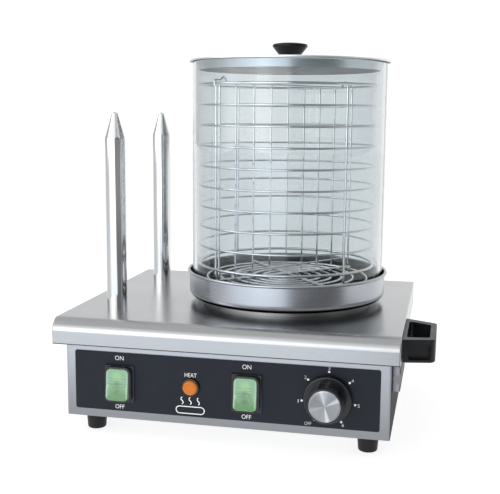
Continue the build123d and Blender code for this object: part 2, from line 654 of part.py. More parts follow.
def handle_screws():
    """Two screws from inside the skirt into the handle's arms."""
    inner = COVER_W / 2 - SHEET
    screws = []
    for y, reach in zip(HANDLE_SCREW_Y, HANDLE_SCREW_REACH):
        head = rod_x(HANDLE_SCREW_R + 1.5, (inner - 2.2, inner), y, HANDLE_SCREW_Z)
        screws.append(head + rod_x(HANDLE_SCREW_R, (inner - 0.5, COVER_W / 2 + reach), y, HANDLE_SCREW_Z))
    return joined(screws)


def feet():
    """Four rubber feet, each with a recess for its screw."""
    pads = []
    for x, y in FOOT_PLACES:
        pad = turned((0, GROUND), (FOOT_R[0], GROUND), (FOOT_R[1], BOX_BOTTOM), (0, BOX_BOTTOM))
        pad = fillet(pad.faces().sort_by(Axis.Z)[0].edges(), 2.0)
        recess = post(FOOT_SCREW_HEAD_R + 0.4, (GROUND - 1, FOOT_SCREW_Z))
        pad = pad - recess - post(FOOT_SCREW_R + SCREW_GAP, (FOOT_SCREW_Z - 2, BOX_BOTTOM + 1))
        pads.append(Pos(x, y, 0) * pad)
    return joined(pads)


def foot_screws():
    """A screw through each foot into the lower box's flange and bottom plate."""
    screws = []
    for x, y in FOOT_PLACES:
        head = post(FOOT_SCREW_HEAD_R, (FOOT_SCREW_Z - 2.4, FOOT_SCREW_Z), x, y)
        cross = block((x - 2.4, x + 2.4), (y - 0.4, y + 0.4), (FOOT_SCREW_Z - 3, FOOT_SCREW_Z - 1.2))
        screws.append(head - cross + post(FOOT_SCREW_R, (FOOT_SCREW_Z - 0.5, FOOT_SCREW_Z + 12), x, y))
    return joined(screws)


# ---- Fasteners and electrics inside the base ----

def cover_nuts():
    """Nuts on the cover's studs, under the lower box's upper flange."""
    z = (TOP_INNER - SHEET - 3.2, TOP_INNER - SHEET)
    return joined([hexagon(7.0, z, x, y) - post(STUD_R + SCREW_GAP, (90, 120), x, y) for x, y in STUD_PLACES])


def bottom_screws():
    """Screws from below through the lower flange into the bottom plate."""
    screws = []
    for x, y in BOTTOM_SCREW_PLACES:
        head = post(BOTTOM_SCREW_R + 1.45, (BOX_BOTTOM - 1.8, BOX_BOTTOM), x, y)
        cross = block((x - 1.8, x + 1.8), (y - 0.35, y + 0.35), (BOX_BOTTOM - 2.4, BOX_BOTTOM - 0.9))
        screws.append(head - cross + post(BOTTOM_SCREW_R, (BOX_BOTTOM - 0.5, BOX_BOTTOM + 6), x, y))
    return joined(screws)


def along_y(shape, x, y, z):
    """Turns a shape drawn about Z so that its +Z points to +Y, and places it."""
    return Pos(x, y, z) * Rot(-90, 0, 0) * shape


def cable_gland():
    """Gland in the back wall, where the mains lead comes in: a hexagon, a domed cap and a thread."""
    hexed = hexagon(18.0, (0, 5.0), 0, 0)
    cap = post(8.0, (5.0, GLAND_OUT))
    cap = fillet(cap.faces().sort_by(Axis.Z)[-1].edges(), 1.5)
    thread = post(GLAND_THREAD_R, (-12.0, 0.5))
    bore = post(GLAND_BORE_R, (-13.0, GLAND_OUT + 1))
    return along_y(hexed + cap + thread - bore, GLAND_X, BOX_BACK, GLAND_Z)


def gland_nut():
    """Lock nut on the gland, inside the back wall."""
    nut = hexagon(18.0, (-SHEET - 4.0, -SHEET), 0, 0) - post(GLAND_THREAD_R + SCREW_GAP, (-8, 2))
    return along_y(nut, GLAND_X, BOX_BACK, GLAND_Z)


def terminal_block():
    """Three-way terminal block on the bottom plate."""
    floor = BOX_BOTTOM + 2 * SHEET
    body = block((84, 126), (222, 240), (floor, floor + 14))
    for i in range(3):
        x = 91 + 14 * i
        body = body - post(2.6, (floor + 8, floor + 16), x, 227) - post(2.6, (floor + 8, floor + 16), x, 235)
        body = body - rod_y(2.0, (221, 241), x, floor + 5)
    return body


def earth_stud():
    """Brass earthing bolt on the bottom plate, with its washer and nut."""
    floor = BOX_BOTTOM + 2 * SHEET
    spot = (64.0, 238.0)
    return post(6.0, (floor, floor + 1.2), *spot) + hexagon(8.0, (floor + 1.2, floor + 5), *spot) \
        + post(2.5, (floor, floor + 12), *spot)


# ---- Pan, glass, trivet, basket, divider and lid ----

def water_pan():
    """Shallow round pan with a rounded bottom corner and a rolled rim."""
    outer = PAN_R
    inner = PAN_R - PAN_SHEET
    floor = PAN_BOTTOM + PAN_SHEET
    bend = PAN_BOTTOM + PAN_CORNER_R
    flat = outer - PAN_CORNER_R
    edge = Line((0, PAN_BOTTOM), (flat, PAN_BOTTOM))
    edge += RadiusArc((flat, PAN_BOTTOM), (outer, bend), -PAN_CORNER_R)
    edge += Polyline((outer, bend), (outer, PAN_RIM_Z), (inner, PAN_RIM_Z), (inner, bend))
    edge += RadiusArc((inner, bend), (flat, floor), PAN_CORNER_R - PAN_SHEET)
    edge += Polyline((flat, floor), (0, floor), (0, PAN_BOTTOM))
    section = Plane.XZ * make_face(edge)
    bead = Pos(0, 0, PAN_RIM_Z) * Torus(inner + BEAD_R, BEAD_R)
    return on_axis(revolve(section, Axis.Z) + bead)


def glass_cylinder():
    """Open glass tube with ground, rounded ends."""
    tube = post(GLASS_R, GLASS_Z) - post(GLASS_R - GLASS_WALL, (GLASS_Z[0] - 1, GLASS_Z[1] + 1))
    rims = tube.edges().filter_by(GeomType.CIRCLE)
    return on_axis(fillet(rims, 1.2))


def wire_ring(radius, wire, z):
    """A ring of round wire."""
    return Pos(0, 0, z) * Torus(radius, wire)


def trivet():
    """Flat rack of concentric rings under two crossed wires."""
    level = TRIVET_Z - 1.7 * TRIVET_WIRE_R
    rings = [wire_ring(radius, TRIVET_WIRE_R, level) for radius in TRIVET_RINGS]
    reach = TRIVET_RINGS[0] + 1.0
    arms = [Rot(0, 0, angle) * rod_y(TRIVET_WIRE_R, (-reach, reach), 0, TRIVET_Z) for angle in TRIVET_ARMS]
    return on_axis(joined(arms + rings))


def trivet_legs():
    """Four legs under the crossed wires, just inside the outer ring."""
    top = TRIVET_Z - TRIVET_WIRE_R + 0.2
    legs = []
    for angle in TRIVET_ARMS:
        for side in (-1, 1):
            leg = post(TRIVET_WIRE_R, (PAN_BOTTOM + PAN_SHEET + 0.3, top))
            leg = fillet(leg.faces().sort_by(Axis.Z)[0].edges(), 1.2)
            legs.append(Rot(0, 0, angle) * Pos(0, side * TRIVET_LEG_R, 0) * leg)
    return on_axis(joined(legs))


def basket():
    """Open wire cage: rings welded round four upright wires that end as feet."""
    top = BASKET_Z + BASKET_PITCH * (BASKET_RINGS - 1)
    upright_r = BASKET_R - 2 * BASKET_WIRE_R + 0.4
    height = top + 0.6 - BASKET_BOTTOM
    wires = []
    for angle in UPRIGHT_ANGLES:
        upright = Cone(BASKET_WIRE_R, BASKET_WIRE_R + 0.05, height, align=LOW)
        upright = fillet(upright.edges().filter_by(GeomType.CIRCLE), 0.6)
        wires.append(Rot(0, 0, angle) * Pos(upright_r, 0, BASKET_BOTTOM) * upright)
    for k in range(BASKET_RINGS):
        wire = BASKET_END_R if k in (0, BASKET_RINGS - 1) else BASKET_WIRE_R
        wires.append(wire_ring(BASKET_R, wire, BASKET_Z + BASKET_PITCH * k))
    return in_basket(joined(wires))


def divider():
    """Flat wire grid across the basket, with a hook over the top ring at each end."""
    top = BASKET_Z + BASKET_PITCH * (BASKET_RINGS - 1)
    left, right = DIVIDER_SPREAD[0], DIVIDER_SPREAD[-1]
    r = DIVIDER_WIRE_R
    wires = [post(r, (BASKET_BOTTOM + 0.2, top), t, 0) for t in DIVIDER_SPREAD]
    wires += [rod_x(r, (left, right), 0, z) for z in (top, DIVIDER_FOOT_BAR)]
    wires += [Pos(t, 0, top) * Sphere(r) for t in (left, right)]
    path = FilletPolyline(*[(BASKET_R + t, 0, top + z) for t, z in HOOK_BENDS], radius=HOOK_BEND_R)
    hook = sweep(Plane(origin=path @ 0, z_dir=path % 0) * Circle(r), path=path)
    wires += [hook, mirror(hook, Plane.YZ)]
    return in_basket(Rot(0, 0, DIVIDER_ANGLE) * joined(wires))


def lid():
    """Dished metal lid whose flange rests on the glass."""
    z = LID_Z
    t = LID_SHEET
    low = z + t - LID_DISH_DEPTH
    dish, throat = LID_DISH_R
    plate = turned((0, low), (dish, low), (throat, z), (LID_R, z), (LID_R, z + t), (throat - t, z + t),
                   (dish - t, low + t), (0, low + t))
    bead = Pos(0, 0, z + 0.9) * Torus(LID_R - 0.9, 0.9)
    return on_axis(plate + bead - post(2.2, (low - 1, low + 2)))


def lid_knob():
    """Black knob on the lid's floor: a foot, a neck, a straight flare and a low crown."""
    floor = LID_Z + 2 * LID_SHEET - LID_DISH_DEPTH
    r = LID_KNOB_R
    rim = HEIGHT - LID_KNOB_RIM
    neck_r = LID_KNOB_NECK[0]
    neck_z = HEIGHT - LID_KNOB_NECK[1]
    outline = Polyline((0, floor), (12.5, floor), (12.5, floor + 2), (neck_r, floor + 5), (neck_r, neck_z),
                       (r - 0.9, rim - 1.3))
    outline += ThreePointArc((r - 0.9, rim - 1.3), (r, rim + 0.2), (r - 1.9, rim + 2.6))
    outline += Polyline((r - 1.9, rim + 2.6), (r - 1.9, HEIGHT), (0, HEIGHT), (0, floor))
    crown = Pos(0, 0, HEIGHT - LID_KNOB_CROWN_R) * Sphere(LID_KNOB_CROWN_R)
    knob = revolve(Plane.XZ * make_face(outline), Axis.Z) & crown
    return on_axis(knob - post(2.0 + SCREW_GAP, (floor - 1, floor + 14)))


def lid_screw():
    """Screw from under the lid into its knob."""
    low = LID_Z + LID_SHEET - LID_DISH_DEPTH
    head = post(3.6, (low - 1.5, low))
    head = fillet(head.faces().sort_by(Axis.Z)[0].edges(), 0.8)
    cross = block((-2.2, 2.2), (-0.4, 0.4), (low - 2, low - 0.7))
    return on_axis(head - cross + post(2.0, (low - 0.5, low + 13)))


NODES = {
    "base_housing": base_housing,
    "bottom_plate": bottom_plate,
    "top_cover": top_cover,
    "control_panel": control_panel,
    "switch_housing_left": lambda: switch_housing(SWITCH_X[0]),
    "switch_housing_right": lambda: switch_housing(SWITCH_X[1]),
    "switch_rocker_left": lambda: rocker(SWITCH_X[0]),
    "switch_rocker_right": lambda: rocker(SWITCH_X[1]),
    "switch_terminals": switch_terminals,
    "lamp_holder": lamp_holder,
    "lamp_lens": lamp_lens,
    "lamp_bulb": lamp_bulb,
    "lamp_nut": lamp_nut,
    "thermostat_body": thermostat_body,
    "thermostat_screws": thermostat_screws,
    "thermostat_shaft": thermostat_shaft,
    "capillary_bulb": capillary_bulb,
    "control_knob": control_knob,
    "knob_cap": knob_cap,
    "heating_plate": heating_plate,
    "heating_element": heating_element,
    "element_clamp": element_clamp,
    "element_bolt": element_bolt,
    "thermal_cutout": thermal_cutout,
    "heat_shield": heat_shield,
    "insulation_pad": insulation_pad,
    "bun_spike_front": lambda: bun_spike(SPIKE_Y[0]),
    "bun_spike_rear": lambda: bun_spike(SPIKE_Y[1]),
    "spike_heaters": spike_heaters,
    "spike_nuts": spike_nuts,
    "spike_washers": spike_washers,
    "carry_handle": carry_handle,
    "handle_screws": handle_screws,
    "feet": feet,
    "foot_screws": foot_screws,
    "cover_nuts": cover_nuts,
    "bottom_screws": bottom_screws,
    "cable_gland": cable_gland,
    "gland_nut": gland_nut,
    "terminal_block": terminal_block,
    "earth_stud": earth_stud,
    "water_pan": water_pan,
    "glass_cylinder": glass_cylinder,
    "trivet": trivet,
    "trivet_legs": trivet_legs,
    "basket": basket,
    "divider": divider,
    "lid": lid,
    "lid_knob": lid_knob,
    "lid_screw": lid_screw,
}

for node, make in NODES.items():
    save(node, make())
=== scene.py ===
import json
import math

import bmesh
import bpy
from mathutils import Matrix, Vector

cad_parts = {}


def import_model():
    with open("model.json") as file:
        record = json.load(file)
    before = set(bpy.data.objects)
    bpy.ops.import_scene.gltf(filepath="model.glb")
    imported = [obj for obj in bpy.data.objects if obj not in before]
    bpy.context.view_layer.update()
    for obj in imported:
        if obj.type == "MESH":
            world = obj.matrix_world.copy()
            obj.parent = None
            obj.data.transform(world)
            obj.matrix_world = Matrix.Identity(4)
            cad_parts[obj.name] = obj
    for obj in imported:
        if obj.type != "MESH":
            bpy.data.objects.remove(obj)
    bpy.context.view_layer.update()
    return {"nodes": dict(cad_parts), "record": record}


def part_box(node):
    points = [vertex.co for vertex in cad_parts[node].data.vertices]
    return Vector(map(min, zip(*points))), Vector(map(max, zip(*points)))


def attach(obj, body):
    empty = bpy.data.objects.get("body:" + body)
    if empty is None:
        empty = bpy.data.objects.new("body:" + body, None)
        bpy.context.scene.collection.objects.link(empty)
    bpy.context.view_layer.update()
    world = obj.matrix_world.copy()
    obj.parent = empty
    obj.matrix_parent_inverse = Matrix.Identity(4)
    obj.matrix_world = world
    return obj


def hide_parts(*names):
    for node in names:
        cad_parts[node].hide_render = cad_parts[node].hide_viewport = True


# A hot-dog steamer dressed over its CAD frame. Points given to at(), and all that is printed on the panel,
# are in millimetres in the housing's frame: x = 0 is the top cover's middle plane, y = 0 its front, and the
# cover's top is at COVER_TOP_MM. Other lengths are metres in the part's own frame. Colours are linear.
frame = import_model()
NODES = frame["nodes"]
MM = 0.001

cover_low, cover_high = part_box("top_cover")
MIDDLE_X = (cover_low.x + cover_high.x) / 2
FRONT_Y = cover_low.y
COVER_TOP_MM = 112.7
LEVEL_Z = cover_high.z - COVER_TOP_MM * MM


def at(x, y, z):
    """A point given in the housing's frame, in millimetres."""
    return Vector((MIDDLE_X + x * MM, FRONT_Y + y * MM, LEVEL_Z + z * MM))


def centre_of(node):
    """The middle of a CAD node's box."""
    low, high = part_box(node)
    return (low + high) / 2


# ---- Building materials ----

class Nodes:
    """A shader tree under construction: its closing shader and short ways to add nodes before it."""

    def __init__(self, tree, shader):
        self.tree = tree
        self.shader = tree.nodes[shader]

    def add(self, kind, inputs=None, **settings):
        """Adds a node, sets its settings, and feeds its inputs with values or other nodes' outputs."""
        made = self.tree.nodes.new("ShaderNode" + kind)
        for key, value in settings.items():
            setattr(made, key, value)
        for key, value in (inputs or {}).items():
            if isinstance(value, bpy.types.NodeSocket):
                self.tree.links.new(value, made.inputs[key])
            else:
                made.inputs[key].default_value = value
        return made

    def feed(self, socket, source):
        """Links a node's output to a socket of the shader."""
        self.tree.links.new(source, self.shader.inputs[socket])

    def fed(self, socket):
        """The output that a socket of the shader is linked to now."""
        return self.shader.inputs[socket].links[0].from_socket

    def calc(self, operation, *numbers):
        """One number worked out from one or two others."""
        return self.add("Math", dict(enumerate(numbers)), operation=operation).outputs[0]

    def axes(self, vector):
        """The three coordinates of a vector."""
        return self.add("SeparateXYZ", {0: vector}).outputs[:]

    def join(self, **coordinates):
        """A vector from its coordinates by name, with 0 for those not given."""
        return self.add("CombineXYZ", coordinates).outputs[0]

    def length(self, vector):
        """The length of a vector."""
        return self.add("VectorMath", {0: vector}, operation="LENGTH").outputs["Value"]

    def along(self, vector, direction):
        """How far a vector reaches along a direction."""
        return self.add("VectorMath", {0: vector, 1: direction}, operation="DOT_PRODUCT").outputs["Value"]


class Look(Nodes):
    """A material under construction."""

    def __init__(self, name, **sockets):
        self.material = bpy.data.materials.new(name)
        self.material.use_nodes = True
        super().__init__(self.material.node_tree, "Principled BSDF")
        for key, value in sockets.items():
            self.shader.inputs[key.replace("_", " ")].default_value = value

    def place(self):
        """The point being shaded, in the part's own frame, in metres."""
        return self.add("TexCoord").outputs["Object"]

    def facing(self):
        """The three coordinates of the direction that the surface faces."""
        return self.axes(self.add("NewGeometry").outputs["Normal"])

    def noise(self, vector, scale, detail=3.0, roughness=0.55):
        """Noise from 0 to 1, with its points scaled by a number or a triple."""
        stretch = (scale,) * 3 if isinstance(scale, (int, float)) else scale
        scaled = self.add("Mapping", {"Vector": vector, "Scale": stretch})
        inputs = {"Vector": scaled.outputs[0], "Scale": 1.0, "Detail": detail, "Roughness": roughness}
        return self.add("TexNoise", inputs).outputs["Fac"]

    def spread(self, source, low, high, within=(0.3, 0.7)):
        """Maps a range of numbers onto low to high and stops there. The default range suits a noise."""
        first, last = within
        inputs = {"Value": source, "From Min": first, "From Max": last, "To Min": low, "To Max": high}
        return self.add("MapRange", inputs).outputs["Result"]

    def blend(self, factor, first, second):
        """A colour between two."""
        made = self.add("Mix", data_type="RGBA")
        for socket, value in (("Factor", factor), (6, first), (7, second)):
            target = made.inputs[socket]
            if isinstance(value, bpy.types.NodeSocket):
                self.tree.links.new(value, target)
            else:
                target.default_value = value
        return made.outputs[2]

    def bump(self, source, height, strength):
        """Feeds the shader's normal with a relief of that height in metres."""
        made = self.add("Bump", {"Height": source, "Distance": height, "Strength": strength})
        self.feed("Normal", made.outputs["Normal"])


def grey(value, tint=(1.0, 1.0, 1.0)):
    """An opaque colour from one brightness and a tint."""
    return tuple(value * t for t in tint) + (1.0,)


def set_stops(ramp, stops):
    """Gives a colour ramp its stops, each a place from 0 to 1 and a colour, with eased steps between them."""
    ramp.interpolation = "EASE"
    while len(ramp.elements) < len(stops):
        ramp.elements.new(0.5)
    for element, (place, color) in zip(ramp.elements, stops):
        element.position = place
        element.color = color


def polar(look, centre):
    """Radius, angle and height of the shaded point about a vertical line, as one vector."""
    moved = look.add("VectorMath", {0: look.place(), 1: centre}, operation="SUBTRACT").outputs[0]
    x, y, z = look.axes(moved)
    return look.join(X=look.length(look.join(X=x, Y=y)), Y=look.calc("ARCTAN2", y, x), Z=z)


def satin_metal(look, grain, tone, tint, roughness, streak, relief):
    """Finishes a metal look from its grain noise: slight streaks in colour, gloss and relief, and haze."""
    dark, light = grey(tone * (1 - streak), tint), grey(tone * (1 + streak), tint)
    look.feed("Base Color", look.blend(look.spread(grain, 0.0, 1.0), dark, light))
    rough = look.spread(grain, roughness * 0.96, roughness * 1.04)
    haze = look.spread(look.noise(look.place(), 9.0), -0.02, 0.03)
    look.feed("Roughness", look.calc("ADD", rough, haze))
    look.bump(grain, relief, 0.4)
    return look.material


def brushed_steel(name, tone, tint, roughness, scale, streak=0.03):
    """Satin metal with a fine grain."""
    look = Look(name, Metallic=1.0)
    grain = look.noise(look.place(), scale, 5.0, 0.65)
    return satin_metal(look, grain, tone, tint, roughness, streak, 0.00001)


def turned_steel(name, tone, tint, roughness, centre):
    """Satin metal finished on a lathe: fine rings about the axis and up the walls."""
    look = Look(name, Metallic=1.0)
    rings = look.noise(polar(look, centre), LATHE_RINGS, 4.0, 0.6)
    return satin_metal(look, rings, tone, tint, roughness, 0.02, 0.000008)


def polished_steel(name, tone, roughness, tint=(1.0, 1.0, 1.01)):
    """Bright polished metal with faint polishing scratches and finger haze."""
    look = Look(name, Metallic=1.0)
    where = look.place()
    scratch = look.noise(where, (160.0, 160.0, 2200.0), 4.0, 0.6)
    cloud = look.noise(where, 26.0)
    look.feed("Base Color", look.blend(cloud, grey(tone * 0.94, tint), grey(tone * 1.03, tint)))
    look.feed("Roughness", look.spread(cloud, roughness * 0.8, roughness * 1.4))
    look.bump(scratch, 0.000006, 0.35)
    return look.material


def moulded_plastic(name, color, roughness, grain_mm, relief_mm, specular=0.5):
    """Moulded plastic with a fine spark-eroded texture and slightly uneven gloss."""
    look = Look(name, Specular_IOR_Level=specular)
    where = look.place()
    grain = look.noise(where, 1 / (grain_mm * MM), 3.0, 0.6)
    cloud = look.noise(where, 30.0)
    bright = tuple(min(1.0, c * 1.25 + 0.004) for c in color[:3]) + (1.0,)
    look.feed("Base Color", look.blend(cloud, color, bright))
    look.feed("Roughness", look.spread(cloud, roughness * 0.88, roughness * 1.12))
    look.bump(grain, relief_mm * MM, 0.6)
    return look.material


def clear_glass(name, tint):
    """Clear drawn glass, faintly tinted, with a slight ripple."""
    look = Look(name, Base_Color=tint, Transmission_Weight=1.0, IOR=1.47)
    where = look.place()
    ripple = look.noise(where, (14.0, 14.0, 3.0), 1.0, 0.4)
    look.feed("Roughness", look.spread(look.noise(where, 40.0, 2.0), 0.0, 0.02))
    look.bump(ripple, 0.0002, 0.12)
    return look.material


def printed_ink(name, value):
    """Screen-printed ink with a slight mottle."""
    look = Look(name)
    mottle = look.noise(look.place(), 1800.0)
    look.feed("Base Color", look.blend(mottle, grey(value * 0.93), grey(value)))
    look.feed("Roughness", look.spread(mottle, 0.42, 0.55))
    return look.material


def set_material(obj, material):
    """Gives a whole object one material."""
    obj.data.materials.clear()
    obj.data.materials.append(material)


# ---- Materials of the CAD nodes ----

stack_axis = centre_of("water_pan")
SPIN = (stack_axis.x, stack_axis.y, 0.0)
PLAIN = (1.0, 1.0, 1.0)
COOL = (0.94, 0.985, 1.06)
FAINTLY_COOL = (0.98, 1.0, 1.02)

# Grain noises, in cycles a metre along x, y and z. A ring grain takes radius, angle and height.
COVER_GRAIN = (18.0, 2400.0, 1200.0)
BOX_GRAIN = (18.0, 900.0, 2600.0)
PAN_RINGS = (3600.0, 0.6, 3600.0)
LATHE_RINGS = (2600.0, 0.6, 2600.0)

# How high the painted shadow line round the bottom of the cover's skirt is, and how far the pan's rim stands
# out from the inside of its wall.
SHADOW_LINE_HEIGHT = 0.0008
PAN_RIM_W = 0.0029

# The rockers. Heights are from a rocker's middle, and RIB_TURNS is one wave of ribs in 2.3 mm.
rocker_low, rocker_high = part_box("switch_rocker_left")
ROCKER_Z = (rocker_low.z + rocker_high.z) / 2
ROCKER_TALL = rocker_high.z - rocker_low.z
ROCKER_X = [centre_of("switch_rocker_" + side).x for side in ("left", "right")]
ROCKER_HALF = 0.0109
RIB_TURNS = 2 * math.pi / 0.0023
RIBS_Z = 0.002
RIBS_HALF = 0.0055
# Colours of the rocker, most of them painted light: lit mint above, green below, painted shade, pale painted
# highlight and a lime painted glow.
LIT_MINT = (0.26, 0.46, 0.30, 1.0)
LEAF = (0.035, 0.21, 0.03, 1.0)
SHADE = (0.03, 0.10, 0.04, 1.0)
PALE_HIGHLIGHT = (0.42, 0.60, 0.44, 1.0)
LIME_GLOW = (0.40, 0.72, 0.26, 1.0)
# Each painted spot of glow and of shade: its height, reach, strongest share and colour.
ROCKER_GLOW_AND_SHADE_SPOTS = (
    (0.0085, 0.0065, 0.45, LIME_GLOW),
    (-0.0055, 0.0095, 0.6, LEAF),
    (0.0022, 0.0030, 0.3, SHADE),
    (-0.0058, 0.0036, 0.65, SHADE),
)

# Satin steel takes tone, tint, roughness, grain and streaks, and polished steel tone, roughness and tint.
# Plastic takes colour, roughness, grain and relief in millimetres, and specular level.
looks = {
    "galvanised_steel": brushed_steel("galvanised_steel", 0.45, FAINTLY_COOL, 0.5, 160.0, 0.2),
    "panel_black": moulded_plastic("panel_black", (0.005, 0.0085, 0.016, 1.0), 0.42, 0.8, 0.004, 0.25),
    "switch_black": moulded_plastic("switch_black", (0.009, 0.010, 0.014, 1.0), 0.25, 0.7, 0.003),
    "brass": brushed_steel("brass", 0.62, (1.15, 0.92, 0.5), 0.3, 300.0),
    "lamp_bezel": polished_steel("lamp_bezel", 0.05, 0.2),
    "clear_glass": clear_glass("bulb_glass", (0.95, 0.95, 0.92, 1.0)),
    "moulded_nylon": moulded_plastic("moulded_nylon", (0.60, 0.58, 0.52, 1.0), 0.45, 0.9, 0.01),
    "thermostat_case": moulded_plastic("thermostat_case", (0.03, 0.03, 0.032, 1.0), 0.5, 0.9, 0.01),
    "zinc_screw": polished_steel("zinc_screw", 0.55, 0.3, (1.0, 1.0, 0.97)),
    "copper": brushed_steel("copper", 0.6, (1.15, 0.66, 0.42), 0.28, 400.0),
    "knob_black": moulded_plastic("knob_black", (0.003, 0.0045, 0.008, 1.0), 0.22, 0.8, 0.004),
    "knob_aluminium": turned_steel("knob_aluminium", 0.75, PLAIN, 0.25, SPIN),
    "plate_aluminium": turned_steel("plate_aluminium", 0.30, PLAIN, 0.32, SPIN),
    "element_sheath": brushed_steel("element_sheath", 0.12, (1.0, 0.97, 0.94), 0.5, 300.0),
    "ceramic_fibre": moulded_plastic("ceramic_fibre", (0.75, 0.72, 0.66, 1.0), 0.9, 0.6, 0.2),
    "spike_polished": polished_steel("spike_polished", 0.82, 0.10),
    "handle_black": moulded_plastic("handle_black", (0.004, 0.0045, 0.006, 1.0), 0.36, 0.9, 0.012, 0.4),
    "foot_rubber": moulded_plastic("foot_rubber", (0.004, 0.0045, 0.006, 1.0), 0.5, 0.7, 0.02, 0.3),
    "gland_nylon": moulded_plastic("gland_nylon", (0.015, 0.015, 0.016, 1.0), 0.45, 0.8, 0.01),
    "cylinder_glass": clear_glass("cylinder_glass", (0.745, 0.785, 0.80, 1.0)),
    "wire_steel": polished_steel("wire_steel", 0.92, 0.07),
    "lid_knob_black": moulded_plastic("lid_knob_black", (0.002, 0.002, 0.003, 1.0), 0.26, 0.8, 0.004, 0.25),
}


def cover_steel():
    """Top cover: satin steel brushed along its width, with a painted shadow line round the bottom of its
    skirt, where it meets the box.
    """
    look = Look("cover_steel", Metallic=1.0)
    grain = look.noise(look.place(), COVER_GRAIN, 5.0, 0.65)
    satin_metal(look, grain, tone=0.48, tint=FAINTLY_COOL, roughness=0.25, streak=0.015, relief=0.000003)
    # Painted shadow: a thin band round the bottom of the skirt is painted dark, as the shade where the cover
    # meets the box.
    level = look.axes(look.place())[2]
    shadow_line_top = cover_low.z + SHADOW_LINE_HEIGHT
    edge = look.spread(level, 1.0, 0.0, (shadow_line_top, shadow_line_top + 0.0002))
    look.feed("Base Color", look.blend(edge, look.fed("Base Color"), grey(0.08)))
    return look.material


def box_steel():
    """Lower box: cool satin steel with painted shade that darkens it toward its foot, and painted shade on
    its sides, which are darker and reflect less.
    """
    look = Look("box_steel", Metallic=1.0)
    grain = look.noise(look.place(), BOX_GRAIN, 5.0, 0.65)
    satin_metal(look, grain, tone=0.46, tint=COOL, roughness=0.30, streak=0.03, relief=0.00001)
    # Painted shade: both sides are painted darker, and their reflection is cut down.
    side = look.spread(look.calc("ABSOLUTE", look.facing()[0]), 0.0, 1.0, (0.6, 0.9))
    # Painted shade toward the foot: the sheet is painted darker low down, as a darker reflection of the floor
    # near the box.
    level = look.axes(look.place())[2]
    low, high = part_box("control_panel")
    foot = look.spread(level, 1.0, 0.0, (low.z - 0.001, high.z))
    sheet = look.fed("Base Color")
    shaded_sheet = look.add("VectorMath", {0: sheet, "Scale": 0.62}, operation="SCALE").outputs[0]
    look.feed("Base Color", look.blend(side, look.blend(foot, sheet, shaded_sheet), grey(0.10)))
    look.feed("Specular Tint", look.blend(side, grey(1.0), grey(0.12)))
    return look.material


def pan_steel():
    """Spun pan: satin outside, and its inside painted near black as shade, with a faint mottle and little
    reflection.
    """
    look = Look("pan_steel", Metallic=1.0)
    where = polar(look, SPIN)
    rings = look.noise(where, PAN_RINGS, 4.0, 0.6)
    satin_metal(look, rings, tone=0.50, tint=COOL, roughness=0.28, streak=0.01, relief=0.0000005)
    low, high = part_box("water_pan")
    wall_inside = (high.x - low.x) / 2 - PAN_RIM_W
    radius, _, level = look.axes(where)
    within_wall = look.spread(radius, 1.0, 0.0, (wall_inside - 0.0006, wall_inside))
    over_floor = look.spread(level, 0.0, 1.0, (low.z + 0.0004, low.z + 0.0007))
    inside = look.calc("MULTIPLY", within_wall, over_floor)
    # Painted shade: the inside of the pan is painted near black with a faint mottle, and its reflection is
    # cut down.
    inside_shade = look.blend(look.noise(look.place(), 60.0, 4.0, 0.7), grey(0.02), grey(0.05))
    look.feed("Base Color", look.blend(inside, look.fed("Base Color"), inside_shade))
    look.feed("Specular Tint", look.blend(inside, grey(1.0), grey(0.12)))
    return look.material


def lid_steel():
    """Spun lid: bright satin above and on its wall, and a rougher underside with painted shade and painted
    fans of highlight.
    """
    look = Look("lid_steel", Metallic=1.0)
    where = polar(look, SPIN)
    rings = look.noise(where, LATHE_RINGS, 4.0, 0.6)
    satin_metal(look, rings, tone=0.97, tint=(0.96, 1.0, 1.02), roughness=0.33, streak=0.01, relief=0.000002)
    # Painted shade on the underside, with painted fans of highlight round it and less reflection; it is
    # rougher too.
    under = look.spread(look.facing()[2], 1.0, 0.0, (-0.9, -0.5))
    fan_highlights = look.noise(look.join(X=look.axes(where)[1]), 4.0, 2.0)
    underside_shade = look.blend(look.spread(fan_highlights, 0.0, 1.0), grey(0.48), grey(0.80))
    look.feed("Base Color", look.blend(under, look.fed("Base Color"), underside_shade))
    look.feed("Specular Tint", look.blend(under, grey(1.0), grey(0.7)))
    matt = look.spread(under, 1.0, 1.6, (0.0, 1.0))
    look.feed("Roughness", look.calc("MULTIPLY", look.fed("Roughness"), matt))
    return look.material


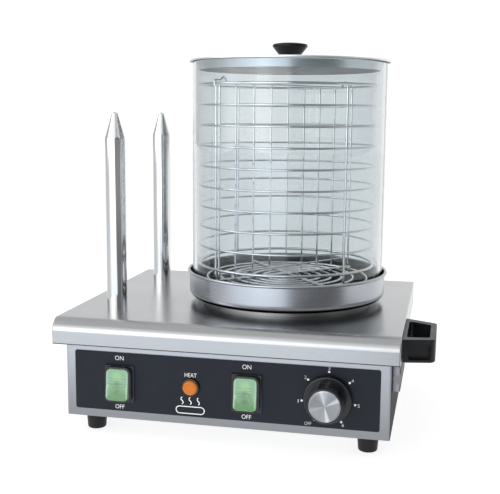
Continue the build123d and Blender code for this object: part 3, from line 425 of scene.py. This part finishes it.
def rocker_green():
    """Translucent green rocker with painted light: lit mint above and greener low down, ribs with painted
    highlights, painted spots of glow and shade, and painted highlights on its edges and foot.
    """
    look = Look("rocker_green", Transmission_Weight=0.15, IOR=1.49, Coat_Weight=0.6, Coat_Roughness=0.06,
                Emission_Strength=0.1)
    where = look.place()
    x, _, z = look.axes(where)
    level = look.calc("SUBTRACT", z, ROCKER_Z)
    cloud = look.noise(where, 260.0, 2.0)
    shifted = look.calc("ADD", level, look.spread(cloud, -0.003, 0.003))
    # Painted light: lit mint above, turning greener and darker low down.
    body = look.blend(look.spread(shifted, 1.0, 0.0, (-0.010, 0.004)), LIT_MINT, LEAF)

    aside = [look.calc("ABSOLUTE", look.calc("SUBTRACT", x, middle)) for middle in ROCKER_X]
    off = look.calc("MINIMUM", *aside)
    # Painted highlights along the crests of the ribs.
    wave = look.calc("SINE", look.calc("MULTIPLY", level, RIB_TURNS))
    from_ribs = look.calc("ABSOLUTE", look.calc("SUBTRACT", level, RIBS_Z))
    ribbed = look.spread(from_ribs, 0.55, 0.0, (RIBS_HALF * 0.8, RIBS_HALF))
    lit = look.calc("MULTIPLY", look.spread(wave, 0.0, 1.0, (0.0, 1.0)), ribbed)
    body = look.blend(lit, body, PALE_HIGHLIGHT)
    # Painted spots of glow and of shade.
    for height, reach, amount, colour in ROCKER_GLOW_AND_SHADE_SPOTS:
        away = look.length(look.join(X=off, Z=look.calc("SUBTRACT", level, height)))
        body = look.blend(look.spread(away, amount, 0.0, (reach * 0.3, reach)), body, colour)

    # Painted highlights round the edges and along the foot.
    edge = look.spread(off, 0.0, 0.8, (ROCKER_HALF - 0.0022, ROCKER_HALF - 0.0006))
    foot = look.spread(level, 0.6, 0.0, (0.0008 - ROCKER_TALL / 2, 0.0026 - ROCKER_TALL / 2))
    body = look.blend(foot, look.blend(edge, body, PALE_HIGHLIGHT), PALE_HIGHLIGHT)
    look.feed("Base Color", body)
    look.feed("Emission Color", body)
    look.feed("Roughness", look.spread(cloud, 0.14, 0.24))
    look.bump(look.noise(where, 900.0, 2.0), 0.00002, 0.4)
    return look.material


def lamp_amber():
    """Amber lens with a faint glow and a fine prismatic grain."""
    look = Look("lamp_amber", IOR=1.49, Coat_Weight=0.2, Coat_Roughness=0.06, Specular_IOR_Level=0.2,
                Emission_Strength=0.2)
    cloud = look.noise(look.place(), 260.0, 2.0)
    tint = look.blend(cloud, (0.45, 0.12, 0.012, 1.0), (0.60, 0.19, 0.025, 1.0))
    look.feed("Base Color", tint)
    look.feed("Emission Color", tint)
    look.feed("Roughness", look.spread(cloud, 0.12, 0.2))
    look.bump(look.noise(look.place(), 1400.0, 2.0), 0.00002, 0.5)
    return look.material


for make_look in (cover_steel, box_steel, pan_steel, lid_steel, rocker_green, lamp_amber):
    looks[make_look.__name__] = make_look()

for part in frame["record"]["subparts"]:
    set_material(NODES[part["node"]], looks[part["material_slot"]])


# ---- Printing on the panel ----

INK_PROUD = 0.05
PRINT_Y = (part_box("control_panel")[0].y - FRONT_Y) / MM - INK_PROUD
ink = printed_ink("white_ink", 0.95)
thin_ink = printed_ink("thin_ink", 0.6)


def finish_piece(name, mesh, material, body):
    """Links a mesh as a piece that rides on a body."""
    obj = bpy.data.objects.new(name, mesh)
    bpy.context.scene.collection.objects.link(obj)
    set_material(obj, material)
    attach(obj, body)


def print_text(name, text, x, z, size, print_ink=ink):
    """Letters on the panel, centred at x, z and fitted to a width and a height in millimetres."""
    curve = bpy.data.curves.new(name, "FONT")
    curve.body = text
    curve.resolution_u = 6
    holder = bpy.data.objects.new(name + "_text", curve)
    bpy.context.scene.collection.objects.link(holder)
    bpy.context.view_layer.update()
    mesh = bpy.data.meshes.new_from_object(holder)
    bpy.data.objects.remove(holder)
    xs = [v.co.x for v in mesh.vertices]
    ys = [v.co.y for v in mesh.vertices]
    left, right, bottom, top = min(xs), max(xs), min(ys), max(ys)
    width, height = size
    centre = at(x, PRINT_Y, z)
    for v in mesh.vertices:
        across = ((v.co.x - left) / (right - left) - 0.5) * width * MM
        up = ((v.co.y - bottom) / (top - bottom) - 0.5) * height * MM
        v.co = centre + Vector((across, 0, up))
    mesh.name = name
    finish_piece(name, thicken(mesh), print_ink, "base")


def thicken(mesh):
    """Gives flat letters a thin edge back to the panel."""
    shape = bmesh.new()
    shape.from_mesh(mesh)
    made = bmesh.ops.extrude_face_region(shape, geom=shape.faces[:])
    moved = [v for v in made["geom"] if isinstance(v, bmesh.types.BMVert)]
    bmesh.ops.translate(shape, verts=moved, vec=(0, INK_PROUD * MM, 0))
    bmesh.ops.recalc_face_normals(shape, faces=shape.faces)
    shape.to_mesh(mesh)
    shape.free()
    return mesh


def print_shape(name, shape):
    """Turns a flat bmesh on the panel into a printed piece, and frees it."""
    mesh = bpy.data.meshes.new(name)
    shape.to_mesh(mesh)
    shape.free()
    finish_piece(name, thicken(mesh), ink, "base")


def ribbon(shape, points, width, closed):
    """Adds a flat stroke through points (x, z in millimetres) on the panel to a bmesh."""
    count = len(points)
    rows = []
    for i, (x, z) in enumerate(points):
        before = points[i - 1] if closed or i > 0 else points[i]
        after = points[(i + 1) % count] if closed or i < count - 1 else points[i]
        along = Vector((after[0] - before[0], after[1] - before[1])).normalized()
        side = Vector((-along.y, along.x)) * width / 2
        rows.append([at(x + s * side.x, PRINT_Y, z + s * side.y) for s in (-1, 1)])
    verts = [[shape.verts.new(p) for p in row] for row in rows]
    for i in range(count if closed else count - 1):
        a, b = verts[i], verts[(i + 1) % count]
        shape.faces.new((a[0], a[1], b[1], b[0]))


def print_dots(name, places, radius):
    """Filled round dots on the panel."""
    sides = 16
    shape = bmesh.new()
    for x, z in places:
        ring = []
        for i in range(sides):
            turn = 2 * math.pi * i / sides
            point = at(x + radius * math.cos(turn), PRINT_Y, z + radius * math.sin(turn))
            ring.append(shape.verts.new(point))
        shape.faces.new(ring)
    print_shape(name, shape)


def steam_mark():
    """A plain pictogram: a sausage outline with three wavy lines of steam."""
    mark_x, mark_z = -31.5, 28.0
    half, radius = 10.5, 3.4
    line = 0.9
    wave_bottom, wave_tall, swing = 5.6, 7.0, 1.1
    outline = []
    for side, start in ((1, -90), (-1, 90)):
        for i in range(13):
            turn = math.radians(start + 15 * i)
            outline.append((mark_x + side * half + radius * math.cos(turn), mark_z + radius * math.sin(turn)))
    shape = bmesh.new()
    ribbon(shape, outline, line, True)
    for offset in (-8.0, 0.0, 8.0):
        wave = []
        for i in range(17):
            share = i / 16
            x = mark_x + offset + swing * math.sin(2 * math.pi * share)
            wave.append((x, mark_z + wave_bottom + wave_tall * share))
        ribbon(shape, wave, line, False)
    print_shape("steam_mark", shape)


# Places and sizes of the words and the dial, in millimetres and degrees. The dial is printed a little to the
# right of the knob's axis and above it.
SWITCH_X = [(centre_of("switch_housing_" + side).x - MIDDLE_X) / MM for side in ("left", "right")]
ON_Z, ON_SIZE = 74.3, (8.6, 4.3)
OFF_Z, OFF_SIZE = 26.0, (9.2, 4.2)
LAMP_X = (centre_of("lamp_lens").x - MIDDLE_X) / MM
HEAT_Z, HEAT_SIZE = 62.4, (11.8, 4.0)
DIAL_SHIFT = 0.4
DIAL_X = (centre_of("control_knob").x - MIDDLE_X) / MM + DIAL_SHIFT
DIAL_Z = (centre_of("control_knob").z - LEVEL_Z) / MM + DIAL_SHIFT
DIAL_OFF_LEFT, DIAL_OFF_DOWN, DIAL_OFF_SIZE = 18.6, 25.6, (6.4, 3.2)
DIAL_DOT_R = 25.0
DOT_RADIUS = 1.1
DIAL_NUMBER_R = 28.3
DIAL_FIRST = 189.5
DIAL_STEP = 50.0
DIGIT_WIDE, ONE_WIDE, DIGIT_TALL = 2.1, 0.8, 3.2

for side, x in zip(("left", "right"), SWITCH_X):
    print_text("print_on_" + side, "ON", x, ON_Z, ON_SIZE)
    print_text("print_off_" + side, "OFF", x, OFF_Z, OFF_SIZE)
print_text("print_heat", "HEAT", LAMP_X, HEAT_Z, HEAT_SIZE)
print_text("print_dial_off", "OFF", DIAL_X - DIAL_OFF_LEFT, DIAL_Z - DIAL_OFF_DOWN, DIAL_OFF_SIZE, thin_ink)
steam_mark()

dial_angles = [math.radians(DIAL_FIRST - DIAL_STEP * i) for i in range(-1, 6)]
dots = [(DIAL_X + DIAL_DOT_R * math.cos(a), DIAL_Z + DIAL_DOT_R * math.sin(a)) for a in dial_angles]
print_dots("print_dial_dots", dots, DOT_RADIUS)
for number, angle in enumerate(dial_angles[1:], 1):
    x = DIAL_X + DIAL_NUMBER_R * math.cos(angle)
    z = DIAL_Z + DIAL_NUMBER_R * math.sin(angle)
    size = (ONE_WIDE if number == 1 else DIGIT_WIDE, DIGIT_TALL)
    print_text("print_dial_" + str(number), str(number), x, z, size, thin_ink)


# ---- Knob cap ----

CAP_TONE = 0.88
CAP_TINT = (0.96, 1.0, 1.05)
# The cap's painted fans of highlight: degrees round the disc, and brightness.
CAP_FAN_HIGHLIGHTS = (
    (-180, 0.30), (-160, 0.42), (-146, 0.34), (-124, 0.36), (-92, 0.44), (-78, 0.92),
    (-62, 0.40), (-20, 0.36), (14, 0.34), (27, 0.62), (44, 0.32), (66, 0.38),
    (88, 0.55), (104, 0.80), (118, 0.46), (146, 0.34), (180, 0.30),
)


def lathe(name, profile, count, axis_matrix):
    """A solid of revolution from (radius, height) points in metres, about a placed Z axis."""
    shape = bmesh.new()
    rings = []
    for radius, height in profile:
        if radius == 0:
            rings.append([shape.verts.new((0, 0, height))])
            continue
        ring = []
        for i in range(count):
            turn = 2 * math.pi * i / count
            ring.append(shape.verts.new((radius * math.cos(turn), radius * math.sin(turn), height)))
        rings.append(ring)
    for low, high in zip(rings, rings[1:]):
        for i in range(count):
            j = (i + 1) % count
            if len(low) == 1:
                shape.faces.new((low[0], high[j], high[i]))
            elif len(high) == 1:
                shape.faces.new((low[i], low[j], high[0]))
            else:
                shape.faces.new((low[i], low[j], high[j], high[i]))
    for face in shape.faces:
        face.smooth = True
    mesh = bpy.data.meshes.new(name)
    shape.to_mesh(mesh)
    shape.free()
    obj = bpy.data.objects.new(name, mesh)
    obj.matrix_world = axis_matrix
    bpy.context.scene.collection.objects.link(obj)
    return obj


def spun_aluminium():
    """Aluminium faced on a lathe: tight rings, and painted highlights that fan out from the centre in uneven
    sectors.
    """
    look = Look("spun_aluminium", Metallic=1.0, Anisotropic=0.8)
    radius, turn, _ = look.axes(polar(look, (0.0, 0.0, 0.0)))
    ring = look.noise(look.join(X=radius), 5200.0, 3.0, 0.6)
    # Painted highlights: the cap's colour is brighter in fans round the disc.
    fan = look.add("ValToRGB", {0: look.spread(turn, 0.0, 1.0, (-math.pi, math.pi))})
    stops = [((degrees + 180) / 360, grey(value * CAP_TONE, CAP_TINT)) for degrees, value in CAP_FAN_HIGHLIGHTS]
    set_stops(fan.color_ramp, stops)
    groove = look.blend(look.spread(ring, 0.0, 1.0), grey(0.88), grey(1.0))
    mixed = {"Factor": 1.0, 6: fan.outputs[0], 7: groove}
    base = look.add("Mix", mixed, data_type="RGBA", blend_type="MULTIPLY")
    look.feed("Base Color", base.outputs[2])
    look.feed("Roughness", look.spread(ring, 0.26, 0.36))
    look.feed("Tangent", look.add("Tangent", direction_type="RADIAL", axis="Z").outputs[0])
    look.bump(ring, 0.00001, 0.5)
    return look.material


def knob_face():
    """The knob's cap: a bevelled disc with a shallow spun dish."""
    low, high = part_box("knob_cap")
    radius = (high.x - low.x) / 2
    thick = high.y - low.y
    profile = [(0.0, -thick), (radius, -thick), (radius, -0.0006), (radius - 0.0002, -0.0002),
               (radius - 0.0007, 0.0)]
    dish = 0.0004
    dish_radius = radius - 0.0009
    dish_drop = 0.00003
    steps = 10
    for i in range(1, steps + 1):
        share = 1 - i / steps
        profile.append((dish_radius * share, -dish * (1 - share * share) - dish_drop))
    centre = Vector(((low.x + high.x) / 2, low.y, (low.z + high.z) / 2))
    face = Matrix.Translation(centre) @ Matrix.Rotation(math.pi / 2, 4, "X")
    cap = lathe("knob_cap_spun", profile, 72, face)
    set_material(cap, spun_aluminium())
    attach(cap, "knob")
    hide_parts("knob_cap")


knob_face()


# ---- Stage, light and camera ----

# Directions from the part. What the floor and the surroundings do there is outside the camera's view, so it
# shows only as reflections: dark at the front right, bright at the front left, a bright strip in front, and
# dim at the left and the right. Views from the side and from behind see it directly.
DARK_SIDE = (0.688, -0.725, 0.0)
BRIGHT_SIDE = (-0.643, -0.766, 0.0)
STRIPE_SIDE = (-0.156, -0.988, 0.0)
DIM_LEFT = (-0.94, 0.34, 0.0)
DIM_RIGHT = (0.985, 0.17, 0.0)
FLOOR_LEFT = (-0.999, -0.035, 0.0)

# The surroundings: each direction, the cosines where its effect starts and is full, and its factor.
WORLD_SIDES = (
    (DARK_SIDE, 0.83, 0.88, 0.22),
    (BRIGHT_SIDE, 0.80, 0.95, 2.2),
    (DIM_LEFT, 0.85, 0.96, 0.45),
    (DIM_RIGHT, 0.80, 0.95, 0.4),
    (STRIPE_SIDE, 0.925, 0.95, 1.5),
)
# Their brightness by height, from the horizon at 0 to straight up at 1.
SKY_STOPS = ((0.0, 1.08), (0.12, 1.08), (0.18, 1.0), (0.40, 0.78), (0.7, 0.72), (1.0, 0.75))

FLOOR_HALF = 6.0
FLOOR_COOL = (0.89, 1.0, 1.12)

# The camera's place for at(), its yaw, pitch and roll in degrees, and its lens in millimetres.
CAMERA_AT = (198.13, -769.82, 307.96)
CAMERA_ANGLES = (12.426, 8.546, 0.480)
LENS = 64.086


def floor():
    """A large pale floor that glows a little where the camera sees it.

    It isn't plain outside that view: it is cooler and brighter far in front, with a bright strip. It is
    dimmer at the left, the right and behind, and it has a dark wedge at the front right.
    """
    shape = bmesh.new()
    bmesh.ops.create_grid(shape, x_segments=1, y_segments=1, size=FLOOR_HALF)
    mesh = bpy.data.meshes.new("floor")
    shape.to_mesh(mesh)
    shape.free()
    obj = bpy.data.objects.new("floor", mesh)
    bpy.context.scene.collection.objects.link(obj)
    look = Look("floor_paper", Roughness=0.9, Specular_IOR_Level=0.1, Emission_Strength=1.0)
    where = look.place()
    depth = look.axes(where)[1]
    bearing = look.add("VectorMath", {0: where}, operation="NORMALIZE").outputs[0]

    def wedge(direction, start, full, near, away):
        """A mask that opens toward a direction between two cosines, and beyond two distances along it."""
        beyond = look.spread(look.along(where, direction), 0.0, 1.0, (near, away))
        toward = look.spread(look.along(bearing, direction), 0.0, 1.0, (start, full))
        return look.calc("MULTIPLY", beyond, toward)

    dark = wedge(DARK_SIDE, 0.80, 0.89, 0.41, 0.50)
    stripe = wedge(STRIPE_SIDE, 0.925, 0.95, 1.2, 1.8)
    dim_left = wedge(FLOOR_LEFT, 0.76, 0.92, 0.45, 0.55)
    dim_right = wedge(DIM_RIGHT, 0.80, 0.95, 0.45, 0.55)
    front = look.spread(depth, 1.0, 0.0, (-0.5, -0.28))
    far = look.spread(depth, 1.0, 0.0, (-1.4, -0.6))
    behind = look.spread(depth, 0.0, 1.0, (0.4, 1.6))
    dark_far = look.spread(look.along(where, DARK_SIDE), 0.0, 1.0, (0.7, 2.2))

    paper = look.blend(look.noise(where, 60.0), grey(0.40), grey(0.43))
    look.feed("Base Color", look.blend(dark, paper, grey(0.05)))
    glow = grey(0.78)
    for mask, color in (
        (front, grey(0.76, FLOOR_COOL)),
        (far, grey(1.08, FLOOR_COOL)),
        (stripe, grey(1.8, FLOOR_COOL)),
        (behind, grey(0.70)),
        (dim_left, grey(0.30)),
        (dim_right, grey(0.62)),
        (dark, look.blend(dark_far, grey(0.10), grey(0.24))),
    ):
        glow = look.blend(mask, glow, color)
    look.feed("Emission Color", glow)
    set_material(obj, look.material)


def world():
    """Soft studio surroundings: white at the horizon, dimmer higher up, and uneven round the part."""
    studio = bpy.data.worlds.new("studio")
    bpy.context.scene.world = studio
    studio.use_nodes = True
    sky = Nodes(studio.node_tree, "Background")
    direction = sky.add("TexCoord").outputs["Generated"]
    height = sky.add("ValToRGB", {0: sky.axes(direction)[2]})
    set_stops(height.color_ramp, [(place, grey(value)) for place, value in SKY_STOPS])
    strength = 1.0
    for side, start, full, factor in WORLD_SIDES:
        inputs = {"Value": sky.along(direction, side), "From Min": start, "From Max": full,
                  "To Min": 1.0, "To Max": factor}
        share = sky.add("MapRange", inputs, interpolation_type="SMOOTHSTEP").outputs["Result"]
        strength = sky.calc("MULTIPLY", strength, share)
    sky.feed("Color", height.outputs["Color"])
    sky.feed("Strength", strength)


def softbox(name, place, target, size, energy):
    """A rectangular area light aimed at a point."""
    light = bpy.data.lights.new(name, "AREA")
    light.shape = "RECTANGLE"
    light.size, light.size_y = size
    light.energy = energy
    obj = bpy.data.objects.new(name, light)
    obj.location = place
    obj.rotation_euler = (Vector(target) - Vector(place)).to_track_quat("-Z", "Y").to_euler()
    bpy.context.scene.collection.objects.link(obj)


def camera():
    """The camera: slightly from the right and above, level apart from a small roll."""
    yaw, pitch, roll = (math.radians(a) for a in CAMERA_ANGLES)
    forward = Vector((-math.sin(yaw) * math.cos(pitch), math.cos(yaw) * math.cos(pitch), -math.sin(pitch)))
    right = Vector((math.cos(yaw), math.sin(yaw), 0))
    up = right.cross(forward)
    tilted_right = right * math.cos(roll) + up * math.sin(roll)
    tilted_up = up * math.cos(roll) - right * math.sin(roll)
    data = bpy.data.cameras.new("camera")
    data.sensor_fit = "HORIZONTAL"
    data.sensor_width = 36.0
    data.lens = LENS
    data.clip_start = 0.01
    obj = bpy.data.objects.new("camera", data)
    pose = Matrix((tilted_right, tilted_up, -forward)).transposed().to_4x4()
    pose.translation = at(*CAMERA_AT)
    obj.matrix_world = pose
    bpy.context.scene.collection.objects.link(obj)
    bpy.context.scene.camera = obj


floor()
world()
softbox("front_light", place=(-0.34, -1.34, 0.68), target=(-0.05, 0.0, 0.4), size=(1.2, 1.25), energy=1.95)
softbox("left_light", place=(-1.5, -0.4, 1.25), target=(0.0, 0.0, 0.15), size=(0.7, 0.7), energy=4.0)
camera()
bpy.context.scene.view_settings.view_transform = "Standard"
